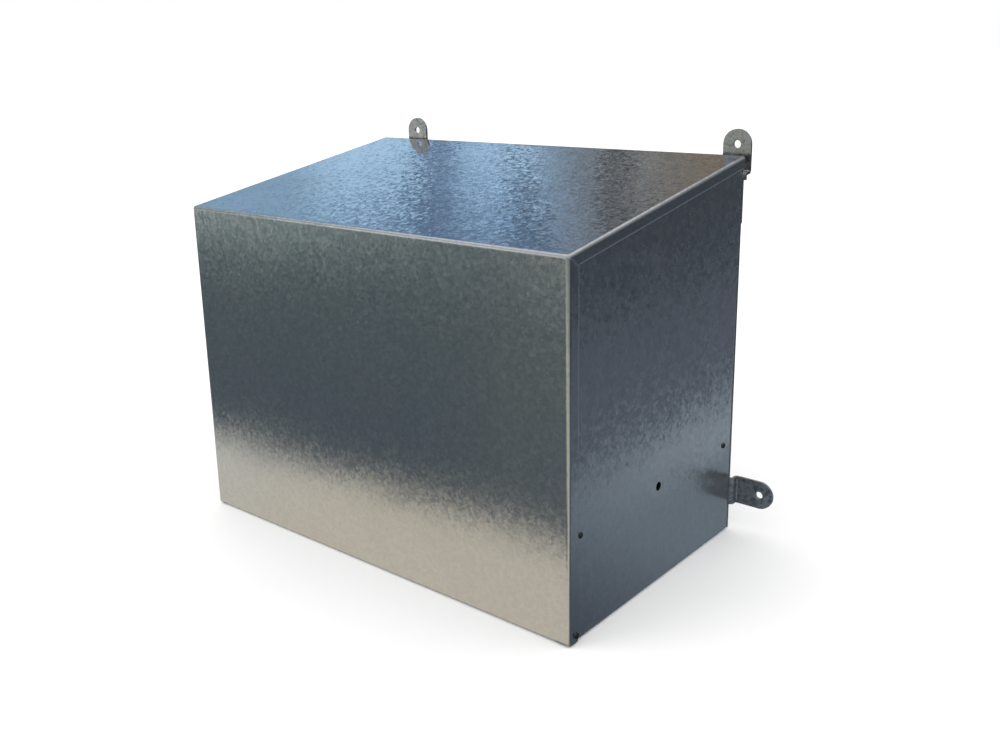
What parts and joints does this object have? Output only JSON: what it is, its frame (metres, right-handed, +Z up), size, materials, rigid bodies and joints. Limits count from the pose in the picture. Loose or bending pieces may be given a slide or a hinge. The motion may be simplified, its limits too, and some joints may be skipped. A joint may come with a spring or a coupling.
{
  "type": "wall-mounted weather housing",
  "caption": "Sloped-roof galvanised sheet-steel weather housing hung on cranked wall lugs, with a flip-up cover of front and roof in one sheet, an open underside and an equipment tray.",
  "frame": {"origin": "centre of the footprint, on the base plane", "axes": "+X to the right seen from the front, +Y towards the wall, +Z up"},
  "size_m": [0.586, 0.312, 0.425],
  "materials": {
    "galvanised_cover": "bare galvanised sheet with spangle, satin",
    "galvanised_side": "bare galvanised sheet with spangle, satin",
    "galvanised_tray": "bare galvanised sheet with spangle, satin",
    "hinge_steel": "zinc-plated steel, dull",
    "rivet_aluminium": "blind rivets, satin",
    "lug_steel": "hot-dip galvanised strip, dull and mottled",
    "zinc_fastener": "zinc-plated fasteners",
    "dark_fastener": "blackened steel",
    "black_rubber": "moulded rubber, matt"
  },
  "bodies": {
    "housing": {"left_side_panel": "galvanised_side", "right_side_panel": "galvanised_side", "back_panel": "galvanised_side", "equipment_tray": "galvanised_tray", "hinge_leaf_body": "hinge_steel", "hinge_pin": "hinge_steel", "hinge_rivets": "rivet_aluminium", "seam_rivets": "rivet_aluminium", "wall_lug_top_left": "lug_steel", "wall_lug_top_right": "lug_steel", "wall_lug_bottom_left": "lug_steel", "wall_lug_bottom_right": "lug_steel", "lug_bolts": "zinc_fastener", "lug_washers": "zinc_fastener", "lug_nuts": "zinc_fastener", "tray_screws": "dark_fastener", "tray_nuts": "zinc_fastener", "cover_nuts": "zinc_fastener", "cable_grommets": "black_rubber"},
    "cover": {"cover": "galvanised_cover", "hinge_leaf_cover": "hinge_steel"},
    "cover_screw_left": {"cover_screw_left": "dark_fastener"},
    "cover_screw_right": {"cover_screw_right": "dark_fastener"}
  },
  "joints": [
    {"name": "cover_hinge", "type": "hinge", "parent": "housing", "child": "cover", "pos_m": [0, 0.1472, 0.39607], "axis": [-1, 0, 0], "range_deg": [0, 85]},
    {"name": "left_screw_release", "type": "slide", "parent": "housing", "child": "cover_screw_left", "axis": [-1, 0, 0], "range_m": [0, 0.003]},
    {"name": "right_screw_release", "type": "slide", "parent": "housing", "child": "cover_screw_right", "axis": [1, 0, 0], "range_m": [0, 0.003]}
  ]
}
